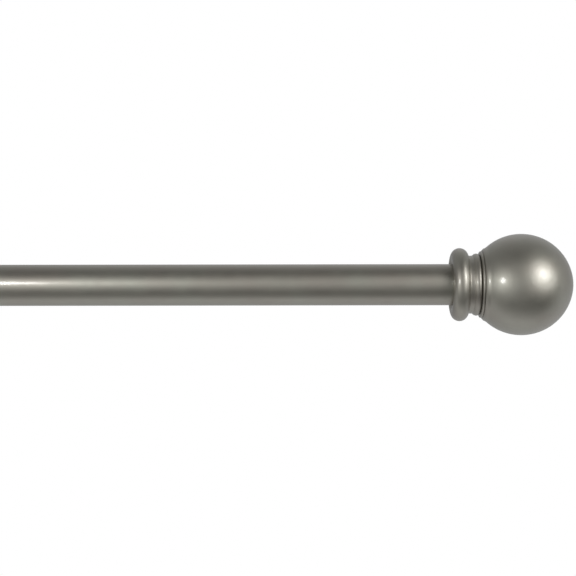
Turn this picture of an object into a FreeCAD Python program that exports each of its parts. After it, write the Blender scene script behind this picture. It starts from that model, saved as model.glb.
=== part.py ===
import FreeCAD, Part

"""Extendable curtain rod with two ball finials, carried by two wall brackets.

X runs along the rod towards the right-hand finial, Y points into the wall and Z is up.
The wall is the plane y = 0, the rod hangs in front of it at negative y, and the origin
is the middle of the right wall plate's back face.  All sizes are in millimetres.
"""

import math
import os
import re

import Sketcher

Vector = FreeCAD.Vector

SIZES = {
    # Rod: a tube, and a thinner one that slides out of its left end
    "tube_od": 16.0,
    "tube_wall": 0.8,
    "tube_length": 711.0,
    "inner_od": 13.0,
    "inner_length": 588.0,
    "set_length": 914.0,
    "collar_face": 230.0,
    "slide_gap": 0.1,
    "bush_length": 12.0,
    "bush_flange": 1.5,
    "glide_head": 4.0,
    "glide_shank": 10.0,
    "glide_bore": 8.0,
    "plug_length": 22.0,
    # Finials, measured along the rod from the collar's open face
    "collar_socket": 5.0,
    "collar_fit": 0.2,
    "bead_radius": 3.3,
    "bead_ring": 10.9,
    "bead_end": 6.5,
    "neck_radius": 11.26,
    "neck_end": 8.2,
    "small_bead": 1.7,
    "small_bead_end": 10.4,
    "collar_end_radius": 11.6,
    "collar_length": 10.8,
    "edge_break": 0.3,
    "ball_base": 10.9,
    "ball_base_radius": 12.2,
    "ridge_end": 11.9,
    "ridge_radius": 13.2,
    "ridge_groove": 0.15,
    "lip_end": 13.2,
    "lip_radius": 14.2,
    "lip_curve": 2.2,
    "ball_centre": 27.25,
    "ball_radius": 19.7,
    "ball_reach": 20.15,
    "stud_diameter": 6.0,
    "stud_reach": 8.0,
    "stud_depth": 13.0,
    "stud_clearance": 0.3,
    "thread_gap": 0.1,
    # Wall brackets
    "bracket_spacing": 450.0,
    "projection": 89.0,
    "plate_width": 26.0,
    "plate_height": 76.0,
    "plate_thickness": 3.0,
    "plate_edge": 1.2,
    "screw_spacing": 54.0,
    "screw_hole": 4.8,
    "screw_sink": 9.4,
    "screw_shank": 4.0,
    "screw_thread": 4.5,
    "screw_head": 9.0,
    "screw_length": 38.0,
    "screw_point": 6.0,
    "head_gap": 0.1,
    "fixing_thread": 5.0,
    "fixing_head": 9.0,
    "fixing_length": 6.5,
    "socket_od": 14.0,
    "socket_mouth": 45.0,
    "socket_floor": 7.0,
    "arm_diameter": 9.5,
    "arm_gap": 0.15,
    "arm_back": 25.0,
    "boss_place": 38.0,
    "boss_diameter": 10.0,
    "boss_depth": 12.0,
    # Cradle at the front of each arm
    "cradle_gap": 0.3,
    "cradle_wall": 3.0,
    "cradle_width": 14.0,
    "cradle_top": 6.0,
    "cradle_edge": 0.7,
    "front_boss": 2.0,
    "front_boss_diameter": 8.0,
    "cradle_thread": 4.0,
    "cradle_head": 7.6,
    "cradle_screw_length": 11.0,
    "cradle_root": 2.0,
    # Thumbscrews and their nylon pads: the large one locks an arm, the small one the rod
    "lock_thread": 5.0,
    "lock_head": 12.0,
    "lock_grip": 6.0,
    "lock_shank": 6.6,
    "lock_pad": 4.2,
    "lock_pad_thickness": 1.35,
    "lock_stem": 2.0,
    "rod_thread": 4.0,
    "rod_head": 10.0,
    "rod_grip": 5.5,
    "rod_shank": 4.7,
    "rod_pad": 3.4,
    "rod_pad_thickness": 1.2,
    "rod_stem": 1.6,
    "stem_length": 2.4,
    "pad_gap": 0.1,
}

# How close to a face, in mm, an edge must lie to count as one of its edges
NEAR = 0.01

document = FreeCAD.newDocument("curtain_rod")


def make_sheet():
    """The driving dimensions, one named cell each."""
    sheet = document.addObject("Spreadsheet::Sheet", "Sizes")
    for row, (name, size) in enumerate(SIZES.items(), start=1):
        sheet.set(f"A{row}", name)
        sheet.set(f"B{row}", str(size))
        sheet.setAlias(f"B{row}", name)
    document.recompute()
    return sheet


sheet = make_sheet()


def formula(text):
    """The text with every size name pointed at the sheet: tube_od / 2 -> Sizes.tube_od / 2."""
    return re.sub(r"[a-z_]\w*(?!\w*\()", lambda word: "Sizes." + word.group(), text)


def value(text):
    return float(sheet.evalExpression(formula(text)))


def origin_plane(body, role):
    return next(item for item in body.Origin.OriginFeatures if item.Role == role)


def new_body(label):
    body = document.addObject("PartDesign::Body", label)
    body.Label = label
    return body


def new_sketch(body, name, plane):
    sketch = body.newObject("Sketcher::SketchObject", name)
    sketch.AttachmentSupport = (origin_plane(body, plane), [""])
    sketch.MapMode = "FlatFace"
    return sketch


def bind(sketch, constraint, text):
    """Adds a constraint and binds its value to a formula of the sheet."""
    number = sketch.addConstraint(Sketcher.Constraint(*constraint, value(text)))
    sketch.setExpression(f"Constraints[{number}]", formula(text))


def arc_between(start, end, radius, turn):
    """The shorter arc from start to end, turning left or right on the way."""
    chord = end - start
    height = math.sqrt(max(radius ** 2 - (chord.Length / 2) ** 2, 0.0))
    side = 1 if turn == "left" else -1
    left = Vector(-chord.y, chord.x, 0) / chord.Length
    centre = (start + end) / 2 + left * (side * height)
    first, last = (start, end) if turn == "left" else (end, start)
    angles = [math.atan2(point.y - centre.y, point.x - centre.x) for point in (first, last)]
    return Part.ArcOfCircle(Part.Circle(centre, Vector(0, 0, 1), radius), *angles)


def draw(body, name, corners, plane="XY_Plane"):
    """A closed outline whose corners are (x, y) formulas.

    A corner may also name the radius and the turn, "left" or "right", of an arc that
    leaves it for the next corner.  All coordinates and radii are bound to the sheet.
    """
    sketch = new_sketch(body, name, plane)
    points = [Vector(value(corner[0]), value(corner[1]), 0) for corner in corners]
    ends = []
    for index, corner in enumerate(corners):
        start = points[index]
        end = points[(index + 1) % len(points)]
        if len(corner) == 2:
            sketch.addGeometry(Part.LineSegment(start, end), False)
            ends.append((1, 2))
            continue
        radius, turn = corner[2:]
        sketch.addGeometry(arc_between(start, end, value(radius), turn), False)
        ends.append((1, 2) if turn == "left" else (2, 1))
        bind(sketch, ("Radius", index), radius)
    for index, (x, y, *arc) in enumerate(corners):
        following = (index + 1) % len(corners)
        sketch.addConstraint(Sketcher.Constraint("Coincident", index, ends[index][1],
                                                 following, ends[following][0]))
        vertex = (index, ends[index][0])
        for direction, axis, place in (("DistanceX", -2, x), ("DistanceY", -1, y)):
            if place == "0":
                sketch.addConstraint(Sketcher.Constraint("PointOnObject", *vertex, axis))
            else:
                bind(sketch, (direction, -1, 1, *vertex), place)
    return sketch


def draw_circles(body, name, circles, plane="XY_Plane"):
    """Circles given as (x, y, radius) formulas."""
    sketch = new_sketch(body, name, plane)
    for index, (x, y, radius) in enumerate(circles):
        centre = Vector(value(x), value(y), 0)
        sketch.addGeometry(Part.Circle(centre, Vector(0, 0, 1), value(radius)), False)
        bind(sketch, ("Radius", index), radius)
        for direction, axis, place in (("DistanceX", -2, x), ("DistanceY", -1, y)):
            if place == "0":
                sketch.addConstraint(Sketcher.Constraint("PointOnObject", index, 3, axis))
            else:
                bind(sketch, (direction, -1, 1, index, 3), place)
    return sketch


def turned(body, name, corners, axis="H_Axis", cut=False):
    """Turns an outline about the sketch's axis, adding it or cutting it away."""
    sketch = draw(body, name + "_outline", corners)
    kind = "PartDesign::Groove" if cut else "PartDesign::Revolution"
    feature = body.newObject(kind, name)
    feature.Profile = sketch
    feature.ReferenceAxis = (sketch, [axis])
    feature.Angle = 360
    document.recompute()
    return feature


def padded(body, name, sketch, length, both_ways=False, back=False):
    feature = body.newObject("PartDesign::Pad", name)
    feature.Profile = sketch
    feature.setExpression("Length", formula(length))
    feature.SideType = "Symmetric" if both_ways else "One side"
    feature.Reversed = back
    document.recompute()
    return feature


def sunk_hole(body, name, sketch, diameter, sink, back=False):
    """A countersunk hole through the whole piece."""
    hole = body.newObject("PartDesign::Hole", name)
    hole.Profile = sketch
    hole.DepthType = "ThroughAll"
    hole.HoleCutType = "Countersink"
    hole.HoleCutCustomValues = True
    hole.HoleCutCountersinkAngle = 90
    hole.setExpression("Diameter", formula(diameter))
    hole.setExpression("HoleCutDiameter", formula(sink))
    hole.Reversed = back
    document.recompute()
    return hole


def rounded(body, name, base, radius, wanted):
    """Fillets the edges of the base feature that the wanted() test picks."""
    edges = [f"Edge{number}" for number, edge in enumerate(base.Shape.Edges, start=1) if wanted(edge)]
    fillet = body.newObject("PartDesign::Fillet", name)
    fillet.Base = (base, edges)
    fillet.setExpression("Radius", formula(radius))
    document.recompute()
    return fillet


ALONG_X = FreeCAD.Rotation()
TO_LEFT = FreeCAD.Rotation(Vector(0, 0, 1), 180)
OUT_OF_WALL = FreeCAD.Rotation(Vector(0, 0, 1), -90)
INTO_WALL = FreeCAD.Rotation(Vector(1, 1, 1), 120)
DOWNWARD = FreeCAD.Rotation(Vector(0, 1, 0), 90)


def place(body, x="0", y="0", z="0", rotation=ALONG_X):
    """Turns the piece and binds its position to the sheet."""
    body.Placement = FreeCAD.Placement(Vector(0, 0, 0), rotation)
    for axis, text in (("x", x), ("y", y), ("z", z)):
        body.setExpression(f"Placement.Base.{axis}", formula(text))


# Rod

TUBE_MOUTH = "collar_face + collar_socket - tube_length"
LEFT_COLLAR_FACE = "collar_face - set_length"
ROD_Y = "-projection"


def make_tube(label, diameter, length, right_end):
    outer = f"{diameter} / 2"
    bore = f"{diameter} / 2 - tube_wall"
    body = new_body(label)
    turned(body, "wall", [(f"-{length}", bore), ("0", bore), ("0", outer), (f"-{length}", outer)])
    place(body, x=right_end, y=ROD_Y)
    return body


def make_mouth_bush():
    """Flanged sleeve in the large tube's open end, in which the thin tube slides."""
    bore = "inner_od / 2 + slide_gap"
    sleeve = "tube_od / 2 - tube_wall"
    body = new_body("tube_mouth_bush")
    turned(body, "sleeve", [("-bush_flange", bore), ("bush_length", bore), ("bush_length", sleeve),
                            ("0", sleeve), ("0", "tube_od / 2"), ("-bush_flange", "tube_od / 2")])
    place(body, x=TUBE_MOUTH, y=ROD_Y)
    return body


def make_inner_glide():
    """Guide ring on the thin tube's hidden end, running in the large tube's bore."""
    bore = "glide_bore / 2"
    shank = "inner_od / 2 - tube_wall"
    head = "tube_od / 2 - tube_wall - slide_gap"
    body = new_body("inner_tube_glide")
    turned(body, "ring", [("-glide_shank", bore), ("glide_head", bore), ("glide_head", head),
                          ("0", head), ("0", shank), ("-glide_shank", shank)])
    place(body, x=f"{LEFT_COLLAR_FACE} + inner_length", y=ROD_Y)
    return body


def make_right_end_plug():
    """Threaded plug, flush with the large tube's end inside the collar."""
    bore = "stud_diameter / 2 + thread_gap"
    outer = "tube_od / 2 - tube_wall"
    body = new_body("right_end_plug")
    turned(body, "plug", [("collar_socket - plug_length", bore), ("collar_socket", bore),
                          ("collar_socket", outer), ("collar_socket - plug_length", outer)])
    place(body, x="collar_face", y=ROD_Y)
    return body


def make_left_end_plug():
    """Threaded plug for the thin tube, with a flange that fills the collar's socket."""
    bore = "stud_diameter / 2 + thread_gap"
    shank = "inner_od / 2 - tube_wall"
    start = "collar_socket - plug_length"
    body = new_body("left_end_plug")
    turned(body, "plug", [(start, bore), ("collar_socket", bore), ("collar_socket", "tube_od / 2"),
                          ("0", "tube_od / 2"), ("0", shank), (start, shank)])
    place(body, x=LEFT_COLLAR_FACE, y=ROD_Y, rotation=TO_LEFT)
    return body


# Finials

def make_finial_collar(label):
    """Ring bead with a socket for the rod's end, then a neck and a small second bead."""
    socket = "tube_od / 2 + collar_fit"
    bore = "stud_diameter / 2 + stud_clearance"
    bead_at_socket = f"bead_radius - sqrt(bead_radius ^ 2 - (bead_ring - {socket}) ^ 2)"
    bead_at_neck = "bead_ring + sqrt(bead_radius ^ 2 - (bead_end - bead_radius) ^ 2)"
    body = new_body(label)
    turned(body, "turning", [
        ("collar_length", bore),
        ("collar_socket", bore),
        ("collar_socket", socket),
        (bead_at_socket, socket, "bead_radius", "right"),
        ("0", "bead_ring", "bead_radius", "right"),
        ("bead_radius", "bead_ring + bead_radius", "bead_radius", "right"),
        ("bead_end", bead_at_neck),
        ("bead_end + edge_break", "neck_radius"),
        ("neck_end", "neck_radius", "small_bead", "right"),
        ("small_bead_end", "collar_end_radius + edge_break"),
        ("collar_length - edge_break", "collar_end_radius + edge_break"),
        ("collar_length", "collar_end_radius"),
    ])
    return body


def make_finial_ball(label):
    """Ball, a little longer than it is wide, with a flared base, a fine groove and a lip."""
    bore = "stud_diameter / 2"
    bottom = "ball_base + stud_depth + edge_break"
    curve = "((ball_radius ^ 2 + ball_reach ^ 2) / (2 * ball_radius))"
    shoulder = f"sqrt({curve} ^ 2 - (ball_centre - lip_end) ^ 2) + ball_radius - {curve}"
    body = new_body(label)
    turned(body, "turning", [
        (bottom, "0"),
        (bottom, bore),
        ("ball_base", bore),
        ("ball_base", "ball_base_radius"),
        ("ridge_end - 2 * ridge_groove", "ridge_radius - ridge_groove"),
        ("ridge_end", "ridge_radius - 2 * ridge_groove"),
        ("ridge_end", "ridge_radius", "lip_curve", "right"),
        ("lip_end", "lip_radius"),
        ("lip_end", shoulder, curve, "right"),
        ("ball_centre", "ball_radius", curve, "right"),
        ("ball_centre + ball_reach", "0"),
    ])
    return body


def make_finial_stud(label):
    """Stud fixed in the ball, running through the collar into the rod's end plug."""
    radius = "stud_diameter / 2"
    end = "ball_base + stud_depth"
    body = new_body(label)
    turned(body, "stud", [("-stud_reach", "0"), ("-stud_reach", f"{radius} - 2 * edge_break"),
                          ("-stud_reach + 2 * edge_break", radius), (end, radius), (end, "0")])
    return body


def make_finial(side, face, rotation):
    pieces = [make_finial_collar(f"{side}_finial_collar"),
              make_finial_ball(f"{side}_finial_ball"),
              make_finial_stud(f"{side}_finial_stud")]
    for body in pieces:
        place(body, x=face, y=ROD_Y, rotation=rotation)
    return pieces


# Wall brackets

BACK_WALL = "-projection + tube_od / 2 + cradle_gap + cradle_wall"
FRONT_WALL = "-projection - tube_od / 2 - cradle_gap"
FRONT_FACE = f"{FRONT_WALL} - cradle_wall - front_boss"


def make_wall_plate(label, x):
    """Plate with round ends, two countersunk screw holes and the socket's fixing hole."""
    half = "plate_width / 2"
    straight = "(plate_height - plate_width) / 2"
    body = new_body(label)
    outline = draw(body, "plate_outline", [
        (half, f"-{straight}"),
        (half, straight, half, "left"),
        ("0", "plate_height / 2", half, "left"),
        (f"-{half}", straight),
        (f"-{half}", f"-{straight}", half, "left"),
        ("0", "-plate_height / 2", half, "left"),
    ], plane="XZ_Plane")
    plate = padded(body, "plate", outline, "plate_thickness")
    front = -SIZES["plate_thickness"]
    rounded(body, "front_edge", plate, "plate_edge", lambda edge: edge.BoundBox.YMax < front + NEAR)
    screws = draw_circles(body, "screw_centres", [("0", "screw_spacing / 2", "screw_hole / 2"),
                                                  ("0", "-screw_spacing / 2", "screw_hole / 2")],
                          plane="XZ_Plane")
    screws.setExpression("AttachmentOffset.Base.z", formula("plate_thickness"))
    document.recompute()
    sunk_hole(body, "screw_holes", screws, "screw_hole", "screw_sink")
    centre = draw_circles(body, "fixing_centre", [("0", "0", "fixing_thread / 2")], plane="XZ_Plane")
    document.recompute()
    sunk_hole(body, "fixing_hole", centre, "fixing_thread + 2 * head_gap",
              "fixing_head + 2 * head_gap", back=True)
    place(body, x=x)
    return body


def make_wall_screws(label, x):
    """Two countersunk wood screws, one above the other, driven into the wall."""
    head, shank, thread = "screw_head / 2", "screw_shank / 2", "screw_thread / 2"
    face = "-plate_thickness + head_gap"
    wall_end = "screw_length - plate_thickness"
    body = new_body(label)
    body.AllowCompound = True
    screw = turned(body, "screw", [
        (face, "0"),
        (face, head),
        (f"{face} + {head} - {shank}", shank),
        ("0", shank),
        ("0", thread),
        (f"{wall_end} - screw_point", thread),
        (wall_end, "0"),
    ])
    pair = body.newObject("PartDesign::LinearPattern", "pair")
    pair.Originals = [screw]
    pair.Direction = (screw.Profile[0], ["V_Axis"])
    pair.Occurrences = 2
    pair.setExpression("Length", formula("screw_spacing"))
    body.Tip = pair
    place(body, x=x, z="-screw_spacing / 2", rotation=INTO_WALL)
    return body


def make_sunk_screw(label, head, thread, length):
    """Countersunk machine screw along +X, with the face of its head at x = 0."""
    body = new_body(label)
    cone = f"({head} - {thread}) / 2"
    turned(body, "screw", [("0", "0"), ("0", f"{head} / 2"), (cone, f"{thread} / 2"),
                           (f"{length} - edge_break", f"{thread} / 2"),
                           (length, f"{thread} / 2 - edge_break"), (length, "0")])
    return body


def make_arm_socket(label, x):
    """Sleeve on the wall plate that guides the arm, with a boss below for the lock screw."""
    outer, bore, tapped = "socket_od / 2", "arm_diameter / 2 + arm_gap", "fixing_thread / 2"
    body = new_body(label)
    turned(body, "sleeve", [("0", "-plate_thickness"), ("0", "-socket_mouth"),
                            (f"{outer} - plate_edge", "-socket_mouth", "plate_edge", "left"),
                            (outer, "-socket_mouth + plate_edge"),
                            (outer, "-plate_thickness")], axis="V_Axis")
    boss = draw_circles(body, "boss_outline", [("0", "-boss_place", "boss_diameter / 2")])
    padded(body, "boss", boss, "boss_depth", back=True)
    turned(body, "bore", [("0", "-socket_mouth"), (bore, "-socket_mouth"), (bore, "-socket_floor"),
                          (tapped, "-socket_floor"), (tapped, "-plate_thickness"),
                          ("0", "-plate_thickness")], axis="V_Axis", cut=True)
    hole = draw_circles(body, "lock_outline", [("0", "-boss_place", "lock_thread / 2 + thread_gap")])
    lock = body.newObject("PartDesign::Pocket", "lock_hole")
    lock.Profile = hole
    lock.Type = "ThroughAll"
    document.recompute()
    place(body, x=x)
    return body


def make_arm(label, x):
    """Round bar that slides in the socket, tapped in front for the cradle's screw."""
    radius = "arm_diameter / 2"
    tapped = "cradle_thread / 2"
    body = new_body(label)
    turned(body, "bar", [("0", f"{BACK_WALL} + cradle_screw_length"),
                         (tapped, f"{BACK_WALL} + cradle_screw_length"), (tapped, BACK_WALL),
                         (radius, BACK_WALL), (radius, "-arm_back - plate_edge"),
                         (f"{radius} - plate_edge", "-arm_back"), ("0", "-arm_back")], axis="V_Axis")
    place(body, x=x)
    return body


def make_cradle(label, x):
    """Open strap that holds the rod, with a neck for the arm and a boss for the thumbscrew."""
    inner, outer = "tube_od / 2 + cradle_gap", "tube_od / 2 + cradle_gap + cradle_wall"
    body = new_body(label)
    outline = draw(body, "strap_outline", [
        (f"{ROD_Y} + {inner}", "cradle_top"),
        (f"{ROD_Y} + {inner}", "0", inner, "right"),
        (ROD_Y, f"-({inner})", inner, "right"),
        (f"{ROD_Y} - ({inner})", "0"),
        (f"{ROD_Y} - ({inner})", "cradle_top"),
        (f"{ROD_Y} - ({outer})", "cradle_top"),
        (f"{ROD_Y} - ({outer})", "0", outer, "left"),
        (ROD_Y, f"-({outer})", outer, "left"),
        (f"{ROD_Y} + {outer}", "0"),
        (f"{ROD_Y} + {outer}", "cradle_top"),
    ], plane="YZ_Plane")
    strap = padded(body, "strap", outline, "cradle_width", both_ways=True)
    side = SIZES["cradle_width"] / 2

    def on_side(edge):
        return edge.BoundBox.XMin > side - NEAR or edge.BoundBox.XMax < NEAR - side

    rounded(body, "strap_edges", strap, "cradle_edge", on_side)
    arm = "arm_diameter / 2"
    turned(body, "neck", [("0", f"{BACK_WALL} - cradle_root"), (arm, f"{BACK_WALL} - cradle_root"),
                          (arm, BACK_WALL), ("0", BACK_WALL)], axis="V_Axis")
    boss = "front_boss_diameter / 2"
    turned(body, "front_boss", [("0", FRONT_FACE), (f"{boss} - edge_break", FRONT_FACE),
                                (boss, f"{FRONT_FACE} + edge_break"),
                                (boss, f"{FRONT_WALL} - cradle_wall / 2"),
                                ("0", f"{FRONT_WALL} - cradle_wall / 2")], axis="V_Axis")
    sink, screw = "cradle_head / 2 + head_gap", "cradle_thread / 2 + head_gap"
    face = f"{BACK_WALL} - cradle_wall + 2 * head_gap"
    turned(body, "screw_seat", [("0", f"{face} - cradle_root"), (sink, f"{face} - cradle_root"),
                                (sink, face),
                                (screw, f"{face} + {sink} - ({screw})"), (screw, BACK_WALL),
                                ("0", BACK_WALL)], axis="V_Axis", cut=True)
    tapped = "rod_thread / 2 + thread_gap"
    turned(body, "thumbscrew_hole", [("0", FRONT_FACE), (tapped, FRONT_FACE),
                                     (tapped, f"{FRONT_WALL} + cradle_root"),
                                     ("0", f"{FRONT_WALL} + cradle_root")],
           axis="V_Axis", cut=True)
    place(body, x=x)
    return body


def make_thumbscrew(label, size):
    """Thumbscrew along +X: x = 0 is the shank's tip, with a blind hole for the pad's stem."""
    stem_hole = f"{size}_stem / 2 + arm_gap"
    hole_end = "stem_length + 2 * edge_break"
    shank = f"{size}_thread / 2"
    head = f"{size}_head / 2"
    under, top = f"{size}_shank", f"{size}_shank + {size}_grip"
    body = new_body(label)
    turned(body, "thumbscrew", [
        (hole_end, "0"),
        (hole_end, stem_hole),
        ("0", stem_hole),
        ("0", shank),
        (under, shank),
        (under, f"{head} - 2 * edge_break"),
        (f"{under} + 2 * edge_break", head),
        (f"{top} - 2 * edge_break", head),
        (top, f"{head} - 2 * edge_break"),
        (top, "0"),
    ])
    return body


def make_pad(label, size):
    """Nylon pad: x = 0 is the face that presses, its stem sits in the thumbscrew."""
    disc, stem, thickness = f"{size}_pad / 2", f"{size}_stem / 2", f"{size}_pad_thickness"
    body = new_body(label)
    turned(body, "pad", [("0", "0"), ("0", disc), (thickness, disc), (thickness, stem),
                         (f"{thickness} + stem_length", stem), (f"{thickness} + stem_length", "0")])
    return body


def make_bracket(side, x):
    pieces = [make_wall_plate(f"{side}_wall_plate", x),
              make_wall_screws(f"{side}_wall_screws", x),
              make_arm_socket(f"{side}_arm_socket", x),
              make_arm(f"{side}_arm", x),
              make_cradle(f"{side}_cradle", x)]
    socket_screw = make_sunk_screw(f"{side}_socket_screw", "fixing_head", "fixing_thread",
                                   "fixing_length")
    place(socket_screw, x=x, y="-head_gap", rotation=OUT_OF_WALL)
    cradle_screw = make_sunk_screw(f"{side}_cradle_screw", "cradle_head", "cradle_thread",
                                   "cradle_screw_length")
    into_arm = FreeCAD.Rotation(Vector(0, 0, 1), 90)
    place(cradle_screw, x=x, y=f"{BACK_WALL} - cradle_wall + 2 * head_gap", rotation=into_arm)
    arm_side = "-arm_diameter / 2 - pad_gap"
    lock_pad = make_pad(f"{side}_lock_pad", "lock")
    place(lock_pad, x=x, y="-boss_place", z=arm_side, rotation=DOWNWARD)
    lock_screw = make_thumbscrew(f"{side}_lock_screw", "lock")
    place(lock_screw, x=x, y="-boss_place", z=f"{arm_side} - lock_pad_thickness", rotation=DOWNWARD)
    rod_side = "-projection - tube_od / 2 - pad_gap"
    rod_pad = make_pad(f"{side}_rod_pad", "rod")
    place(rod_pad, x=x, y=rod_side, rotation=OUT_OF_WALL)
    rod_screw = make_thumbscrew(f"{side}_rod_screw", "rod")
    place(rod_screw, x=x, y=f"{rod_side} - rod_pad_thickness", rotation=OUT_OF_WALL)
    return pieces + [socket_screw, cradle_screw, lock_pad, lock_screw, rod_pad, rod_screw]


def check(pieces):
    """Stops before anything is written if a feature failed or a piece is not one sound shape."""
    document.recompute()
    failed = [item.Name for item in document.Objects if {"Invalid", "Error"} & set(item.State)]
    if failed:
        raise RuntimeError(f"failed objects: {failed}")
    for piece in pieces:
        if piece.Shape.isNull() or not piece.Shape.isValid():
            raise RuntimeError(f"unsound shape: {piece.Label}")
        print(f"{piece.Label}: {len(piece.Shape.Solids)} solid, {piece.Shape.Volume:.1f} mm3")


def write(pieces):
    os.makedirs("parts", exist_ok=True)
    for piece in pieces:
        piece.Shape.exportStep(f"parts/{piece.Label}.step")


all_pieces = [
    make_tube("outer_tube", "tube_od", "tube_length", "collar_face + collar_socket"),
    make_tube("inner_tube", "inner_od", "inner_length", f"{LEFT_COLLAR_FACE} + inner_length"),
    make_mouth_bush(),
    make_inner_glide(),
    make_right_end_plug(),
    make_left_end_plug(),
]
all_pieces += make_finial("right", "collar_face", ALONG_X)
all_pieces += make_finial("left", LEFT_COLLAR_FACE, TO_LEFT)
all_pieces += make_bracket("right", "0")
all_pieces += make_bracket("left", "-bracket_spacing")
check(all_pieces)
write(all_pieces)
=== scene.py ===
import math

import bmesh
import bpy
from mathutils import Matrix, Vector


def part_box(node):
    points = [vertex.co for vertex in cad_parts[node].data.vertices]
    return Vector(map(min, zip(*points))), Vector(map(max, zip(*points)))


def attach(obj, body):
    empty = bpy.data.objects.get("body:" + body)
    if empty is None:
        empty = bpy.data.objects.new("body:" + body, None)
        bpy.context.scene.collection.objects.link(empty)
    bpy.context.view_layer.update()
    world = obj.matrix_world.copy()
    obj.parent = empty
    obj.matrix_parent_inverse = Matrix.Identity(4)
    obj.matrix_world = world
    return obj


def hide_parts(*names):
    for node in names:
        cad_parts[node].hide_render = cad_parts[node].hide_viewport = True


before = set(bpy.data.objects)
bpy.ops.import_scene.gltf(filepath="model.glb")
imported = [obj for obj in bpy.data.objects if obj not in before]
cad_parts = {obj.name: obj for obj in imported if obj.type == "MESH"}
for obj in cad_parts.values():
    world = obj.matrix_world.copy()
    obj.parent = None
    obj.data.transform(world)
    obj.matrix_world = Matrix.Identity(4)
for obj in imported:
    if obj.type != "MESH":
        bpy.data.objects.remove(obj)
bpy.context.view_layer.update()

MM = 0.001
TURN = 2 * math.pi
SIDES = {"right": Vector((1, 0, 0)), "left": Vector((-1, 0, 0))}
TO_VIEWER = Vector((0, -1, 0))
TO_WALL = Vector((0, 1, 0))
DOWN = Vector((0, 0, -1))
SLIGHT_BEND = math.radians(150)
TINY = 1e-6


# Outlines: lists of (along, radius) points in millimetres

def on_circle(centre, radius, degrees):
    """The point of a circle at an angle, counted from the +along direction."""
    angle = math.radians(degrees)
    return (centre[0] + radius * math.cos(angle), centre[1] + radius * math.sin(angle))


def arc(centre, radius, start, end, steps=12):
    """Points of a circle from one angle to another, in degrees."""
    return [on_circle(centre, radius, start + (end - start) * i / steps) for i in range(steps + 1)]


def soften(corners, radius, steps=4):
    """Rounds every corner of an open outline, except its two ends and its slight bends."""
    points = [Vector(corner) for corner in corners]
    smooth = [tuple(points[0])]
    for before, corner, after in zip(points, points[1:], points[2:]):
        back, ahead = before - corner, after - corner
        angle = back.angle(ahead)
        if angle > SLIGHT_BEND:
            smooth.append(tuple(corner))
            continue
        reach = min(radius / math.tan(angle / 2), back.length * 0.45, ahead.length * 0.45)
        start, end = corner + back.normalized() * reach, corner + ahead.normalized() * reach
        for i in range(steps + 1):
            t = i / steps
            smooth.append(tuple(start * (1 - t) ** 2 + corner * 2 * t * (1 - t) + end * t ** 2))
    smooth.append(tuple(points[-1]))
    return smooth


def stretch(start, end, radius, spacing):
    """A straight stretch of outline, divided finely enough to carry a thread or a knurl."""
    count = max(1, round(abs(end - start) / spacing))
    return [(start + (end - start) * i / count, radius) for i in range(count + 1)]


# Reliefs: how far a turned surface lies under its outline, at (along, radius, angle)

def thread(start, end, pitch, depth):
    """A helical thread that fades out over one pitch at both ends."""
    def relief(along, radius, angle):
        if not start <= along <= end:
            return 0.0
        fade = min(1.0, (along - start) / pitch, (end - along) / pitch)
        phase = (along / pitch - angle / TURN) % 1.0
        return depth * (1 - fade * (1 - abs(2 * phase - 1)))
    return relief


def knurl(start, end, radius, teeth, depth):
    """Straight flutes along a round grip."""
    def relief(along, at, angle):
        if not start <= along <= end or at < radius - depth:
            return 0.0
        return depth * (0.5 - 0.5 * math.cos(teeth * angle)) ** 1.5
    return relief


# Meshes

def axis_frame(origin, direction):
    """The matrix that puts local +X on the direction, at the origin, for outlines in mm."""
    turn = direction.to_track_quat("X", "Z").to_matrix().to_4x4()
    return Matrix.Translation(origin) @ turn @ Matrix.Scale(MM, 4)


def add_piece(name, mesh_data, crease=35):
    bmesh.ops.recalc_face_normals(mesh_data, faces=mesh_data.faces)
    mesh = bpy.data.meshes.new(name)
    mesh_data.to_mesh(mesh)
    mesh_data.free()
    piece = bpy.data.objects.new(name, mesh)
    bpy.context.scene.collection.objects.link(piece)
    mesh.shade_smooth()
    mesh.set_sharp_from_angle(angle=math.radians(crease))
    return piece


def revolve(name, outline, place, steps=96, relief=None, closed=False, crease=35):
    """Turns an outline about local X.  Points on the axis become single vertices."""
    data = bmesh.new()
    rings = []
    for along, radius in outline:
        if radius < TINY:
            rings.append([data.verts.new(place @ Vector((along, 0, 0)))])
            continue
        ring = []
        for i in range(steps):
            angle = TURN * i / steps
            at = radius - relief(along, radius, angle) if relief else radius
            point = Vector((along, at * math.cos(angle), at * math.sin(angle)))
            ring.append(data.verts.new(place @ point))
        rings.append(ring)
    pairs = list(zip(rings, rings[1:]))
    if closed:
        pairs.append((rings[-1], rings[0]))
    for one, two in pairs:
        for i in range(steps):
            after = (i + 1) % steps
            corners = [one[i % len(one)], one[after % len(one)], two[after % len(two)], two[i % len(two)]]
            corners = list(dict.fromkeys(corners))
            if len(corners) > 2:
                data.faces.new(corners)
    return add_piece(name, data, crease)


def extrude(name, outline, place, thickness, bottom_rim, top_rim, crease=35):
    """A flat outline of (x, y) points in mm, thickened along local Z, with its rims rounded."""
    data = bmesh.new()
    bottom = data.faces.new([data.verts.new((x, y, 0)) for x, y in outline])
    grown = bmesh.ops.extrude_face_region(data, geom=[bottom])["geom"]
    top = [item for item in grown if isinstance(item, bmesh.types.BMVert)]
    bmesh.ops.translate(data, verts=top, vec=(0, 0, thickness))
    low = [edge for edge in data.edges if max(vert.co.z for vert in edge.verts) < TINY]
    bmesh.ops.bevel(data, geom=low, offset=bottom_rim, segments=4, profile=0.5, affect="EDGES")
    high = [edge for edge in data.edges if min(vert.co.z for vert in edge.verts) > thickness - TINY]
    bmesh.ops.bevel(data, geom=high, offset=top_rim, segments=5, profile=0.5, affect="EDGES")
    bmesh.ops.transform(data, matrix=place, verts=data.verts)
    return add_piece(name, data, crease)


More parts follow.
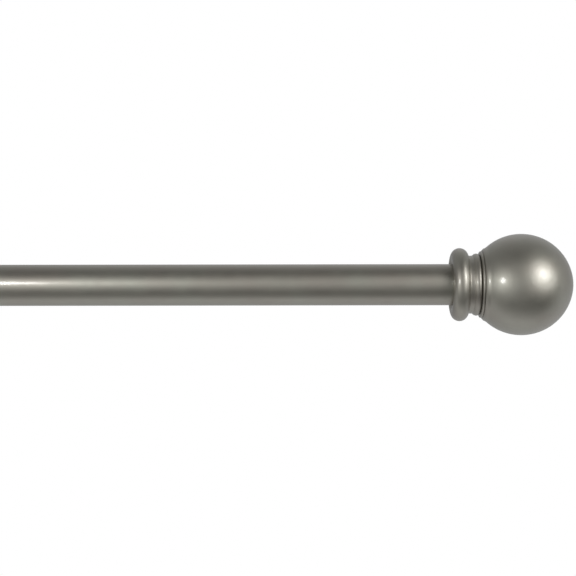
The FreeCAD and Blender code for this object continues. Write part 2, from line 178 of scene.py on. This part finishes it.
def combine(piece, others, operation, crease=35):
    """Joins or cuts other meshes with an exact boolean, then removes them."""
    for other in others:
        modifier = piece.modifiers.new(operation.lower(), "BOOLEAN")
        modifier.operation = operation
        modifier.solver = "EXACT"
        modifier.object = other
    bpy.context.view_layer.update()
    solid = piece.evaluated_get(bpy.context.evaluated_depsgraph_get())
    mesh = bpy.data.meshes.new_from_object(solid)
    piece.modifiers.clear()
    piece.data = mesh
    for other in others:
        bpy.data.objects.remove(other)
    mesh.shade_smooth()
    mesh.set_sharp_from_angle(angle=math.radians(crease))
    return piece


def finish_piece(piece, body, node, material):
    """Every visible piece: its material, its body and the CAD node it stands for."""
    piece.data.materials.clear()
    piece.data.materials.append(material)
    weighted = piece.modifiers.new("even_shading", "WEIGHTED_NORMAL")
    weighted.keep_sharp = True
    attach(piece, body)
    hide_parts(node)
    return piece


def measure(node, direction):
    """(start point, length, radius) of a round CAD node along a row axis, in metres and mm."""
    low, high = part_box(node)
    middle, half = (low + high) / 2, (high - low) / 2
    reach = abs(half.dot(direction))
    across = [half[i] for i in range(3) if abs(direction[i]) < 0.5]
    return middle - direction * reach, 2 * reach / MM, max(across) / MM


# Materials

def new_material(name):
    material = bpy.data.materials.new(name)
    material.use_nodes = True
    tree = material.node_tree
    return material, tree, tree.nodes["Principled BSDF"]


def noise(tree, scale, detail=4.0, stretch_by=(1, 1, 1)):
    """Noise over the object's own coordinates; scale is features per metre."""
    where = tree.nodes.new("ShaderNodeTexCoord")
    mapping = tree.nodes.new("ShaderNodeMapping")
    mapping.inputs["Scale"].default_value = stretch_by
    texture = tree.nodes.new("ShaderNodeTexNoise")
    texture.inputs["Scale"].default_value = scale
    texture.inputs["Detail"].default_value = detail
    tree.links.new(where.outputs["Object"], mapping.inputs["Vector"])
    tree.links.new(mapping.outputs["Vector"], texture.inputs["Vector"])
    return texture.outputs["Fac"]


def ramp(tree, value, stops):
    """A colour ramp with (position, colour) stops."""
    node = tree.nodes.new("ShaderNodeValToRGB")
    elements = node.color_ramp.elements
    while len(elements) < len(stops):
        elements.new(0.5)
    for element, (position, colour) in zip(elements, stops):
        element.position = position
        element.color = (*colour, 1)
    tree.links.new(value, node.inputs["Fac"])
    return node.outputs["Color"]


def bumps(tree, shader, layers):
    """Stacks bump layers of (height, depth in metres, strength)."""
    normal = None
    for height, depth, strength in layers:
        bump = tree.nodes.new("ShaderNodeBump")
        bump.inputs["Distance"].default_value = depth
        bump.inputs["Strength"].default_value = strength
        tree.links.new(height, bump.inputs["Height"])
        if normal:
            tree.links.new(normal, bump.inputs["Normal"])
        normal = bump.outputs["Normal"]
    tree.links.new(normal, shader.inputs["Normal"])
    tree.links.new(normal, shader.inputs["Coat Normal"])


def math_node(tree, operation, first, second, clamp=False):
    """A Math node; each input is either a socket to link or a plain number."""
    node = tree.nodes.new("ShaderNodeMath")
    node.operation = operation
    node.use_clamp = clamp
    for socket, value in zip(node.inputs, (first, second)):
        if isinstance(value, bpy.types.NodeSocket):
            tree.links.new(value, socket)
        else:
            socket.default_value = value
    return node.outputs[0]


def shade(colour, factor):
    return tuple(channel * factor for channel in colour)


def grey(level):
    return (level, level, level)


PEWTER = (0.374, 0.360, 0.315)
PALE_PEWTER = (0.41, 0.40, 0.35)
STEEL = (0.50, 0.49, 0.46)
BLACK = (0.025, 0.025, 0.027)
NATURAL_NYLON = (0.62, 0.60, 0.54)


def plated_metal(name, colour=PEWTER, roughness=0.48, lacquer=1.0, lines=(1, 1, 1), marks=0.05,
                 wear=0.0):
    """Satin plating under clear lacquer: a cloudy tone, an uneven sheen and a fine grain.

    Lines below 1 draw the grain out along that axis, and marks is how strong it is.  Wear
    burnishes the sharpest edges, and needs a finely divided mesh, such as a knurl.
    """
    material, tree, shader = new_material(name)
    shader.inputs["Metallic"].default_value = 1.0
    shader.inputs["Coat Weight"].default_value = lacquer
    shader.inputs["Coat Roughness"].default_value = 0.15
    red, green, blue = colour
    dark, light = (red * 0.97, green * 0.94, blue * 0.94), (red * 1.02, green * 1.05, blue * 1.04)
    burnished = shade(light, 1.35)
    tone = math_node(tree, "MULTIPLY", noise(tree, 70, detail=3.0), 0.6)
    if wear:
        shape = tree.nodes.new("ShaderNodeNewGeometry").outputs["Pointiness"]
        edge = math_node(tree, "MULTIPLY", math_node(tree, "SUBTRACT", shape, 0.52), 6.0, clamp=True)
        tone = math_node(tree, "ADD", tone, math_node(tree, "MULTIPLY", edge, wear))
    colours = ramp(tree, tone, [(0.18, dark), (0.42, light), (1.0, burnished)])
    tree.links.new(colours, shader.inputs["Base Color"])
    sheen = noise(tree, 240, detail=2.0)
    uneven = ramp(tree, sheen, [(0.3, grey(roughness - 0.02)), (0.7, grey(roughness + 0.03))])
    tree.links.new(uneven, shader.inputs["Roughness"])
    ripple = noise(tree, 700, detail=2.0, stretch_by=lines)
    grain = noise(tree, 2600, detail=2.0, stretch_by=lines)
    bumps(tree, shader, [(ripple, 0.1 * MM, marks), (grain, 0.01 * MM, 0.10)])
    return material


def plastic(name, colour, roughness, glow=0.0):
    """Moulded nylon: faint mottling and a fine matt skin; glow lets light soak in."""
    material, tree, shader = new_material(name)
    mottle = ramp(tree, noise(tree, 300), [(0.3, shade(colour, 0.92)), (0.7, shade(colour, 1.05))])
    tree.links.new(mottle, shader.inputs["Base Color"])
    shader.inputs["Roughness"].default_value = roughness
    if glow:
        shader.inputs["Subsurface Weight"].default_value = glow
        shader.inputs["Subsurface Scale"].default_value = MM
    bumps(tree, shader, [(noise(tree, 3000, detail=2.0), 0.02 * MM, 0.15)])
    return material


def make_materials():
    return {
        "plated_tube": plated_metal("plated_tube", lines=(0.05, 1, 1)),
        "turned_collar": plated_metal("turned_collar", lines=(1, 0.06, 0.06), marks=1.0),
        "plated_casting": plated_metal("plated_casting", lines=(1, 0.3, 0.3), marks=0.25),
        "plated_bracket": plated_metal("plated_bracket", roughness=0.46),
        "plated_thumbscrew": plated_metal("plated_thumbscrew", roughness=0.40, wear=0.5),
        "plated_screw": plated_metal("plated_screw", PALE_PEWTER, roughness=0.36),
        "bare_screw": plated_metal("bare_screw", STEEL, roughness=0.30, lacquer=0.0),
        "cast_insert": plastic("cast_insert", BLACK, roughness=0.35),
        "clear_nylon": plastic("clear_nylon", NATURAL_NYLON, roughness=0.45, glow=0.3),
    }


materials = make_materials()


# Rod

def make_tube(node, body, wall=0.8):
    """Thin-walled tube with lightly rolled ends."""
    start, length, radius = measure(node, SIDES["right"])
    bore = radius - wall
    outline = soften([(length / 2, bore), (0, bore), (0, radius), (length, radius), (length, bore),
                      (length / 2, bore)], 0.3)
    tube = revolve(node + "_skin", outline[:-1], axis_frame(start, SIDES["right"]), steps=160, closed=True)
    return finish_piece(tube, body, node, materials["plated_tube"])


def make_mouth_bush():
    """Flanged sleeve in the large tube's open end, which the thin tube runs in."""
    start, length, radius = measure("tube_mouth_bush", SIDES["right"])
    bore, flange, sleeve = 6.6, 1.5, 7.2
    bush = soften([(length / 2, bore), (0, bore), (0, radius), (flange, radius), (flange, sleeve),
                   (length, sleeve), (length, bore), (length / 2, bore)], 0.25)
    piece = revolve("mouth_bush", bush[:-1], axis_frame(start, SIDES["right"]), steps=120, closed=True)
    finish_piece(piece, "rod", "tube_mouth_bush", materials["clear_nylon"])


def make_tube_glide():
    """Guide on the thin tube's hidden end: a shank in the tube and a head outside it."""
    start, length, radius = measure("inner_tube_glide", SIDES["right"])
    bore, shank, head = 4.0, 5.7, 4.0
    glide = soften([(length / 2, bore), (0, bore), (0, shank), (length - head, shank),
                    (length - head, radius), (length, radius), (length, bore), (length / 2, bore)], 0.25)
    piece = revolve("tube_glide", glide[:-1], axis_frame(start, SIDES["right"]), closed=True)
    finish_piece(piece, "inner_rod", "inner_tube_glide", materials["clear_nylon"])


def make_end_plug(side, body, shank, flange):
    """Plug with a hole for the finial's stud; a flange, if any, covers the tube's end."""
    start, length, radius = measure(f"{side}_end_plug", SIDES[side])
    bore = 3.1
    shoulder = [(length - flange, shank), (length - flange, radius)] if flange else []
    plug = soften([(length / 2, bore), (0, bore), (0, shank), *shoulder, (length, radius),
                   (length, bore), (length / 2, bore)], 0.25)
    piece = revolve(f"{side}_plug", plug[:-1], axis_frame(start, SIDES[side]), closed=True)
    finish_piece(piece, body, f"{side}_end_plug", materials["cast_insert"])


# Finials, measured along the rod from the collar's open face

BEAD_RADIUS, BEAD_RING = 3.3, 10.9
SOCKET_RADIUS, SOCKET_DEPTH = 8.35, 5.0
BALL_RADIUS, BALL_CURVE = 19.69, 20.15
STUD_RADIUS, STUD_BORE = 3.0, 3.3


def angle_to(centre, point):
    return math.degrees(math.atan2(point[1] - centre[1], point[0] - centre[0]))


def collar_outline():
    """Socket, ring bead, neck, a low second bead and the flat end that meets the ball."""
    bead = (BEAD_RADIUS, BEAD_RING)
    neck, length = 11.26, 10.8
    back = (SOCKET_DEPTH, (STUD_BORE + SOCKET_RADIUS) / 2)
    at_socket = 180 + math.degrees(math.asin((BEAD_RING - SOCKET_RADIUS) / BEAD_RADIUS))
    socket = soften([back, (SOCKET_DEPTH, SOCKET_RADIUS), (2.2, SOCKET_RADIUS)], 0.3)
    ring = arc(bead, BEAD_RADIUS, at_socket, 26, 56)
    low_bead = soften([on_circle(bead, BEAD_RADIUS, 24), on_circle(bead, BEAD_RADIUS, 12), (6.62, neck),
                       (8.2, neck), (8.95, 11.9), (9.75, 12.1), (10.4, 11.95), (10.7, 11.7)], 0.5, 6)
    end = soften([low_bead[-1], (10.76, 10.6), (length, 10.4), (length, STUD_BORE),
                  (SOCKET_DEPTH, STUD_BORE), back], 0.2)
    return [*socket, *ring, *low_bead[:-1], *end[:-1]]


def ball_outline():
    """Flared base with a ridge and a fine groove, running smoothly into the ball."""
    centre, radius, curve = 27.25, BALL_RADIUS, BALL_CURVE
    middle = (centre, radius - curve)
    base, bottom = 10.9, 24.2

    def on_ball(along):
        return (along, middle[1] + math.sqrt(curve ** 2 - (centre - along) ** 2))

    flare = soften([(base, 9.9), (10.92, 10.3), (10.97, 12.2), (11.2, 12.85), (11.75, 13.05), (11.95, 12.7),
                    (12.1, 13.4), (12.75, 14.05), (13.3, 14.22), on_ball(14.0), on_ball(14.6)], 0.3, 5)
    start = angle_to(middle, on_ball(14.7))
    end = math.degrees(math.asin(-middle[1] / curve))
    dome = arc(middle, curve, start, end, 90)
    tip = (centre + math.sqrt(curve ** 2 - middle[1] ** 2), 0.0)
    return [(bottom, 0.0), (bottom, STUD_RADIUS), (base, STUD_RADIUS), *flare, *dome[:-1], tip]


def make_finial(side, outward):
    """Collar, ball and threaded stud of one end."""
    low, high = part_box(f"{side}_finial_collar")
    axis = (low + high) / 2
    face = Vector((low.x if side == "right" else high.x, axis.y, axis.z))
    place = axis_frame(face, outward)
    collar = revolve(f"{side}_collar_turning", collar_outline(), place, steps=192, closed=True)
    finish_piece(collar, f"{side}_collar", f"{side}_finial_collar",
                 materials["turned_collar"])
    ball = revolve(f"{side}_ball_turning", ball_outline(), place, steps=192)
    finish_piece(ball, f"{side}_finial", f"{side}_finial_ball",
                 materials["plated_casting"])
    start, length, radius = measure(f"{side}_finial_stud", outward)
    pitch, depth = 1.0, 0.55
    stud_outline = [(0, 0), (0, radius - depth), *stretch(0.2, length - 0.2, radius, pitch / 8),
                    (length, radius - depth), (length, 0)]
    stud = revolve(f"{side}_stud_thread", stud_outline, axis_frame(start, outward), steps=48,
                   relief=thread(0.2, length - 0.2, pitch, depth), crease=80)
    finish_piece(stud, f"{side}_finial", f"{side}_finial_stud", materials["bare_screw"])


# Wall brackets

def cross_cutter(name, face, direction, size, depth):
    """Two tapered bars, joined, that cut a cross recess into a screw's head."""
    place = axis_frame(face, direction)
    bars = []
    for quarter in range(2):
        data = bmesh.new()
        bmesh.ops.create_cube(data, size=1.0)
        for vert in data.verts:
            deep = vert.co.x > 0
            taper = 0.55 if deep else 1.0
            wide, narrow = size * taper, size * 0.26 * taper
            vert.co = Vector((depth if deep else -0.5, vert.co.y * wide, vert.co.z * narrow))
        turned = place @ Matrix.Rotation(TURN / 4 * quarter, 4, "X")
        bmesh.ops.transform(data, matrix=turned, verts=data.verts)
        bars.append(add_piece(f"{name}_bar_{quarter}", data))
    return combine(bars[0], bars[1:], "UNION")


def sunk_screw(name, face, direction, head, shank, plain, major, length, pitch, point):
    """Countersunk screw: a cross recess, a plain neck and a thread down to its end.

    A point longer than a millimetre is a wood screw's; otherwise the end is flat.
    """
    depth = major * 0.17
    cone = head - shank
    thread_start = max(plain, cone + 0.1)
    outline = [(0, 0), (0, head - 0.25), (0.25, head - 0.02), (0.32, head - 0.1), (cone, shank)]
    if plain > cone:
        outline += [(plain - 0.02, shank)]
    outline += stretch(thread_start, length - point, major, pitch / 8)
    if point > 1:
        taper = stretch(length - point, length - 0.2, 1.0, pitch / 8)[1:]
        outline += [(x, major * (length - x) / point) for x, _ in taper] + [(length, 0)]
        grooves = thread(thread_start, length - 0.2, pitch, depth)

        def relief(along, radius, angle):
            return min(grooves(along, radius, angle), radius * 0.4)
    else:
        outline += [(length, major - depth), (length, 0)]
        relief = thread(thread_start, length - 0.3, pitch, depth)
    screw = revolve(name, outline, axis_frame(face, direction), steps=48, relief=relief, crease=60)
    cutter = cross_cutter(name, face, direction, head * 1.15, head * 0.42)
    return combine(screw, [cutter], "DIFFERENCE", crease=60)


def make_plate(side):
    """Plate with round ends, a rounded front edge and countersunk holes."""
    low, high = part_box(f"{side}_wall_plate")
    size, middle = (high - low) / MM, (low + high) / 2
    half, straight = size.x / 2, (size.z - size.x) / 2
    outline = arc((0, straight), half, 0, 180, 40) + arc((0, -straight), half, 180, 360, 40)
    upright = Matrix(((1, 0, 0, 0), (0, 0, -1, 0), (0, 1, 0, 0), (0, 0, 0, 1)))
    back = Matrix.Translation((middle.x, high.y, middle.z)) @ upright @ Matrix.Scale(MM, 4)
    plate = extrude(f"{side}_plate_panel", outline, back, size.y, bottom_rim=0.2, top_rim=1.2)
    hole, sink, spacing = 2.4, 4.7, 27.0
    cutters = []
    for number, offset in enumerate((spacing, -spacing)):
        front = Vector((middle.x, low.y, middle.z + offset * MM))
        cone = [(-1, 0), (-1, sink + 1.0), (0, sink), (sink - hole, hole), (size.y + 1, hole),
                (size.y + 1, 0)]
        cutters.append(revolve(f"{side}_sink_{number}", cone, axis_frame(front, TO_WALL), steps=48))
    centre_hole, centre_sink = 2.6, 4.6
    rear = Vector((middle.x, high.y, middle.z))
    cone = [(-1, 0), (-1, centre_sink + 1.0), (0, centre_sink), (centre_sink - centre_hole, centre_hole),
            (size.y + 1, centre_hole), (size.y + 1, 0)]
    cutters.append(revolve(f"{side}_sink_back", cone, axis_frame(rear, TO_VIEWER), steps=48))
    combine(plate, cutters, "DIFFERENCE")
    return finish_piece(plate, "root", f"{side}_wall_plate", materials["plated_bracket"])


def make_wall_screws(side):
    """The two wood screws, one mesh, as they are one node."""
    low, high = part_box(f"{side}_wall_screws")
    middle = (low + high) / 2
    head = 4.5
    screws = []
    for number, height in enumerate((high.z - head * MM, low.z + head * MM)):
        face = Vector((middle.x, low.y, height))
        screws.append(sunk_screw(f"{side}_wood_screw_{number}", face, TO_WALL, head, shank=2.0, plain=2.9,
                                 major=2.25, length=(high.y - low.y) / MM, pitch=1.8, point=6.0))
    pair = combine(screws[0], screws[1:], "UNION", crease=60)
    pair.name = f"{side}_wood_screws"
    return finish_piece(pair, "root", f"{side}_wall_screws", materials["plated_screw"])


def make_socket(side):
    """Sleeve with a boss below, bored for the arm and for the lock screw."""
    low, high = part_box(f"{side}_arm_socket")
    x, radius = (low.x + high.x) / 2, high.z / MM
    length = (high.y - low.y) / MM
    bore, floor, tapped, edge = 4.9, 4.0, 2.5, 1.2
    boss_y, boss_radius, lock_hole = -38.0, 5.0, 2.6
    root = Vector((x, high.y, 0))
    sleeve_outline = [(0, 0), *soften([(0, radius - 3), (0, radius), (1.2, radius)], 0.2)[1:-1],
                      *arc((length - edge, radius - edge), edge, 90, 0, 8), (length, 0)]
    sleeve = revolve(f"{side}_socket_sleeve", sleeve_outline, axis_frame(root, TO_VIEWER), steps=120)
    drop = -low.z / MM
    top = Vector((x, boss_y * MM, 0))
    boss_outline = [(0, 0), (0, boss_radius), *arc((drop - 0.4, boss_radius - 0.4), 0.4, 90, 0, 4),
                    (drop, 0)]
    boss = revolve(f"{side}_socket_boss", boss_outline, axis_frame(top, DOWN), steps=64)
    combine(sleeve, [boss], "UNION")
    bore_outline = [(-1, 0), (-1, tapped), (floor, tapped), (floor, bore), (length - 0.5, bore),
                    (length + 0.5, bore + 1.0), (length + 0.5, 0)]
    bore_tool = revolve(f"{side}_bore_tool", bore_outline, axis_frame(root, TO_VIEWER), steps=96)
    lock_outline = [(0, 0), (0, lock_hole), (drop - 0.3, lock_hole), (drop + 0.5, lock_hole + 0.8),
                    (drop + 0.5, 0)]
    lock_tool = revolve(f"{side}_lock_tool", lock_outline, axis_frame(top, DOWN), steps=48)
    combine(sleeve, [bore_tool, lock_tool], "DIFFERENCE")
    return finish_piece(sleeve, "root", f"{side}_arm_socket",
                        materials["plated_bracket"])


def make_arm(side):
    """Round bar with a chamfered end in the socket and a tapped hole for the cradle's screw."""
    start, length, radius = measure(f"{side}_arm", TO_VIEWER)
    tapped, depth = 2.0, 11.0
    outline = [(0, 0), (0, radius - 1.2), (0.15, radius - 1.05), (1.05, radius - 0.15), (1.3, radius),
               (length - 0.3, radius), (length, radius - 0.3), (length, tapped),
               (length - depth, tapped), (length - depth, 0)]
    arm = revolve(f"{side}_arm_bar", outline, axis_frame(start, TO_VIEWER), steps=96)
    return finish_piece(arm, f"{side}_arm", f"{side}_arm", materials["plated_bracket"])


def make_cradle(side):
    """Open strap with rolled edges, a neck behind and a bored boss in front."""
    low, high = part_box(f"{side}_cradle")
    x, width = (low.x + high.x) / 2, (high.x - low.x) / MM
    wall, inner, top = 3.0, 8.3, high.z / MM
    outer = inner + wall
    rod_y = high.y / MM - outer
    tip = wall / 2 - 0.05
    middle = inner + wall / 2
    strap = [*arc((rod_y, 0), inner, 360, 180, 48),
             *arc((rod_y - middle, top - tip), tip, 0, 180, 12),
             *arc((rod_y, 0), outer, 180, 360, 64),
             *arc((rod_y + middle, top - tip), tip, 0, 180, 12)]
    sideways = Matrix(((0, 0, 1, 0), (1, 0, 0, 0), (0, 1, 0, 0), (0, 0, 0, 1)))
    place = Matrix.Translation((low.x, 0, 0)) @ sideways @ Matrix.Scale(MM, 4)
    cradle = extrude(f"{side}_cradle_strap", strap, place, width, bottom_rim=0.7, top_rim=0.7)
    neck_radius, boss_radius, boss = 4.75, 4.0, 2.0
    back = Vector((x, high.y, 0))
    neck = revolve(f"{side}_neck", [(0, 0), (0, neck_radius), (2, neck_radius), (2, 0)],
                   axis_frame(back, TO_VIEWER), steps=64)
    front = Vector((x, low.y, 0))
    boss_outline = [(0, 0), (0, boss_radius - 0.4), *arc((0.4, boss_radius - 0.4), 0.4, 180, 90, 4)[1:],
                    (boss + 1.5, boss_radius), (boss + 1.5, 0)]
    front_boss = revolve(f"{side}_front_boss", boss_outline, axis_frame(front, TO_WALL), steps=64)
    combine(cradle, [neck, front_boss], "UNION")
    sink, screw, seat = 3.9, 2.1, wall - 0.2
    seat_outline = [(-1, 0), (-1, screw), (seat - (sink - screw), screw), (seat, sink), (seat + 2, sink),
                    (seat + 2, 0)]
    seat_tool = revolve(f"{side}_seat_tool", seat_outline, axis_frame(back, TO_VIEWER), steps=48)
    tapped = 2.1
    hole_outline = [(-1, 0), (-1, tapped + 1.2), (0.25, tapped), (boss + wall + 2, tapped),
                    (boss + wall + 2, 0)]
    hole_tool = revolve(f"{side}_hole_tool", hole_outline, axis_frame(front, TO_WALL), steps=48)
    combine(cradle, [seat_tool, hole_tool], "DIFFERENCE")
    return finish_piece(cradle, f"{side}_arm", f"{side}_cradle",
                        materials["plated_bracket"])


def make_fixing_screws(side):
    """The screws from the plate's back into the socket, and from the cradle into the arm."""
    low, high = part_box(f"{side}_socket_screw")
    face = Vector(((low.x + high.x) / 2, high.y, 0))
    screw = sunk_screw(f"{side}_socket_fixing", face, TO_VIEWER, head=4.5, shank=2.5, plain=0, major=2.5,
                       length=(high.y - low.y) / MM, pitch=0.8, point=0.4)
    finish_piece(screw, "root", f"{side}_socket_screw", materials["bare_screw"])
    low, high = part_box(f"{side}_cradle_screw")
    face = Vector(((low.x + high.x) / 2, low.y, 0))
    screw = sunk_screw(f"{side}_cradle_fixing", face, TO_WALL, head=3.8, shank=2.0, plain=0, major=2.0,
                       length=(high.y - low.y) / MM, pitch=0.7, point=0.4)
    finish_piece(screw, f"{side}_arm", f"{side}_cradle_screw", materials["bare_screw"])


def make_thumbscrew(side, kind, direction, major, shank, stem_hole, pitch):
    """Knurled thumbscrew with a turned groove under its rim and a dished end."""
    node = f"{side}_{kind}_screw"
    start, length, head = measure(node, direction)
    depth, teeth, flute = major * 0.16, 30, 0.35
    rim = 0.9
    grip = [(shank + rim, head), *stretch(shank + rim, length - rim, head, 0.5), (length - rim, head)]
    dish = soften([(length - rim, head), (length, head - rim), (length, head * 0.72),
                   (length - 0.5, head * 0.6), (length - 0.5, 0)], 0.2)[1:]
    outline = [(3.0, 0), (3.0, stem_hole), (0.1, stem_hole), (0, stem_hole + 0.1), (0, major - depth),
               *stretch(0.2, shank - 0.4, major, pitch / 8),
               (shank - 0.3, major - depth), (shank, major - depth + 0.1),
               (shank, head - rim), *grip, *dish]
    cut_thread = thread(0.2, shank - 0.4, pitch, depth)
    flutes = knurl(shank + rim, length - rim, head, teeth, flute)

    def relief(along, radius, angle):
        if radius > major + 0.5:
            return flutes(along, radius, angle)
        return cut_thread(along, radius, angle) if radius > stem_hole + 0.5 else 0.0

    screw = revolve(node.replace("screw", "knob"), outline, axis_frame(start, direction),
                    steps=teeth * 8, relief=relief, crease=50)
    body = f"{side}_{kind}_screw"
    return finish_piece(screw, body, node, materials["plated_thumbscrew"])


def make_pad(side, kind, direction, disc, stem, thickness):
    """Soft tip of a thumbscrew: a disc on a stem that sits in the screw's end."""
    node = f"{side}_{kind}_pad"
    start, length, _ = measure(node, direction)
    outline = [(0, 0), *soften([(0, 0.5), (0, disc), (thickness, disc), (thickness, stem), (length, stem),
                                (length, 0)], 0.15)[1:]]
    pad = revolve(f"{node}_tip", outline, axis_frame(start, direction), steps=48)
    return finish_piece(pad, node, node, materials["clear_nylon"])


def make_bracket(side):
    make_plate(side)
    make_wall_screws(side)
    make_socket(side)
    make_arm(side)
    make_cradle(side)
    make_fixing_screws(side)
    make_thumbscrew(side, "lock", DOWN, major=2.5, shank=6.6, stem_hole=1.15, pitch=0.8)
    make_pad(side, "lock", DOWN, disc=2.1, stem=1.0, thickness=1.35)
    make_thumbscrew(side, "rod", TO_VIEWER, major=2.0, shank=4.7, stem_hole=0.95, pitch=0.7)
    make_pad(side, "rod", TO_VIEWER, disc=1.7, stem=0.8, thickness=1.2)


make_tube("outer_tube", "rod")
make_tube("inner_tube", "inner_rod")
make_mouth_bush()
make_tube_glide()
make_end_plug("right", "rod", shank=7.2, flange=0.0)
make_end_plug("left", "inner_rod", shank=5.7, flange=5.0)
for side, outward in SIDES.items():
    make_finial(side, outward)
    make_bracket(side)


# Studio

def make_floor(height=-2.2, half=8.0):
    """Plain pale floor, as far below as under a rod that hangs over a window."""
    data = bmesh.new()
    bmesh.ops.create_grid(data, x_segments=1, y_segments=1, size=half)
    bmesh.ops.translate(data, verts=data.verts, vec=(-0.2, 0, height))
    floor = add_piece("floor", data)
    material, tree, shader = new_material("pale_floor")
    tone = ramp(tree, noise(tree, 3), [(0.3, (0.83, 0.83, 0.82)), (0.7, (0.86, 0.86, 0.85))])
    tree.links.new(tone, shader.inputs["Base Color"])
    shader.inputs["Roughness"].default_value = 0.9
    floor.data.materials.append(material)
    floor.visible_glossy = False
    floor.visible_shadow = False


# Light that reaches the rod from each part of the room: (angle, level from the left, level from
# straight across, level from the right).  The angle runs from the viewer's side (0) over the top
# (90) to the wall side (180), and back below.
ROOM = {
    "wall from below": (-180, 0.2, 0.3, 0.4),
    "floor by the wall": (-125, 0.5, 0.5, 0.6),
    "floor under the rod": (-90, 0.7, 0.8, 0.5),
    "dark gap below the viewer": (-60, 0.1, 0.2, 0.0),
    "edge of the board": (-40, 0.2, 0.1, 0.0),
    "white board at eye height": (0, 0.9, 0.3, 0.4),
    "dark above the viewer": (60, 0.2, 0.0, 0.0),
    "ceiling": (130, 0.3, 0.6, 0.4),
    "wall": (180, 0.2, 0.3, 0.4),
}


def make_world():
    """Room light, blended from its left, middle and right levels; the camera itself sees white."""
    world = bpy.data.worlds.new("studio")
    bpy.context.scene.world = world
    world.use_nodes = True
    tree = world.node_tree
    where = tree.nodes.new("ShaderNodeTexCoord")
    split = tree.nodes.new("ShaderNodeSeparateXYZ")
    tree.links.new(where.outputs["Generated"], split.inputs["Vector"])
    across, back, up = split.outputs
    angle = math_node(tree, "ARCTAN2", up, math_node(tree, "MULTIPLY", back, -1.0))
    place = math_node(tree, "ADD", math_node(tree, "DIVIDE", angle, TURN), 0.5)
    left, middle, right = [
        ramp(tree, place, [((level[0] + 180) / 360, grey(level[column])) for level in ROOM.values()])
        for column in (1, 2, 3)
    ]
    light = middle
    for side_light, reach in ((left, -0.7), (right, 0.7)):
        blend = tree.nodes.new("ShaderNodeMix")
        tree.links.new(math_node(tree, "DIVIDE", across, reach, clamp=True), blend.inputs["Factor"])
        tree.links.new(light, blend.inputs["A"])
        tree.links.new(side_light, blend.inputs["B"])
        light = blend.outputs["Result"]
    background = tree.nodes["Background"]
    tree.links.new(light, background.inputs["Color"])
    white = tree.nodes.new("ShaderNodeBackground")
    white.inputs["Color"].default_value = (1, 1, 1, 1)
    path = tree.nodes.new("ShaderNodeLightPath")
    mix = tree.nodes.new("ShaderNodeMixShader")
    tree.links.new(path.outputs["Is Camera Ray"], mix.inputs[0])
    tree.links.new(background.outputs[0], mix.inputs[1])
    tree.links.new(white.outputs[0], mix.inputs[2])
    tree.links.new(mix.outputs[0], tree.nodes["World Output"].inputs["Surface"])


def make_light(name, target, azimuth, elevation, distance, size, power):
    """Round soft light, seen from the target at these angles; azimuth 0 is the viewer's side."""
    a, e = math.radians(azimuth), math.radians(elevation)
    direction = Vector((math.sin(a) * math.cos(e), -math.cos(a) * math.cos(e), math.sin(e)))
    data = bpy.data.lights.new(name, "AREA")
    data.shape = "DISK"
    data.size = size
    data.energy = power
    lamp = bpy.data.objects.new(name, data)
    lamp.location = target + direction * distance
    lamp.rotation_euler = direction.to_track_quat("Z", "Y").to_euler()
    lamp.visible_camera = False
    bpy.context.scene.collection.objects.link(lamp)


def light_floor(strength=2.0, softness=60):
    """Soft light from straight above that makes the floor pale and leaves the metal alone."""
    data = bpy.data.lights.new("floor_light", "SUN")
    data.energy = strength
    data.angle = math.radians(softness)
    lamp = bpy.data.objects.new("floor_light", data)
    lamp.visible_glossy = False
    bpy.context.scene.collection.objects.link(lamp)


def make_camera(collar_face, rod_axis):
    """Level camera in front of the right end, 63 mm short of the collar, a little below the rod."""
    data = bpy.data.cameras.new("camera")
    camera = bpy.data.objects.new("camera", data)
    bpy.context.scene.collection.objects.link(camera)
    bpy.context.scene.camera = camera
    distance, aside, below, roll = 0.573, 0.0633, 0.0012, 0.09
    data.sensor_width = 36.0
    data.lens = 92.1
    data.clip_start = 0.01
    camera.location = Vector((collar_face - aside, rod_axis.y - distance, rod_axis.z - below))
    camera.rotation_euler = (math.pi / 2, math.radians(roll), 0)


def make_studio():
    """Floor, room light, a three-part key light that is brightest in its middle, and a small fill."""
    bpy.context.scene.view_settings.view_transform = "Standard"
    make_floor()
    make_world()
    low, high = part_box("right_finial_ball")
    ball = (low + high) / 2
    make_light("key_core", ball, azimuth=44, elevation=20, distance=0.73, size=0.24, power=0.60)
    make_light("key", ball, azimuth=44, elevation=20, distance=0.74, size=0.45, power=1.5)
    make_light("key_glow", ball, azimuth=44, elevation=20, distance=0.75, size=0.90, power=2.1)
    make_light("fill", ball, azimuth=-47, elevation=8, distance=0.35, size=0.07, power=0.20)
    light_floor()
    make_camera(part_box("right_finial_collar")[0].x, ball)


make_studio()
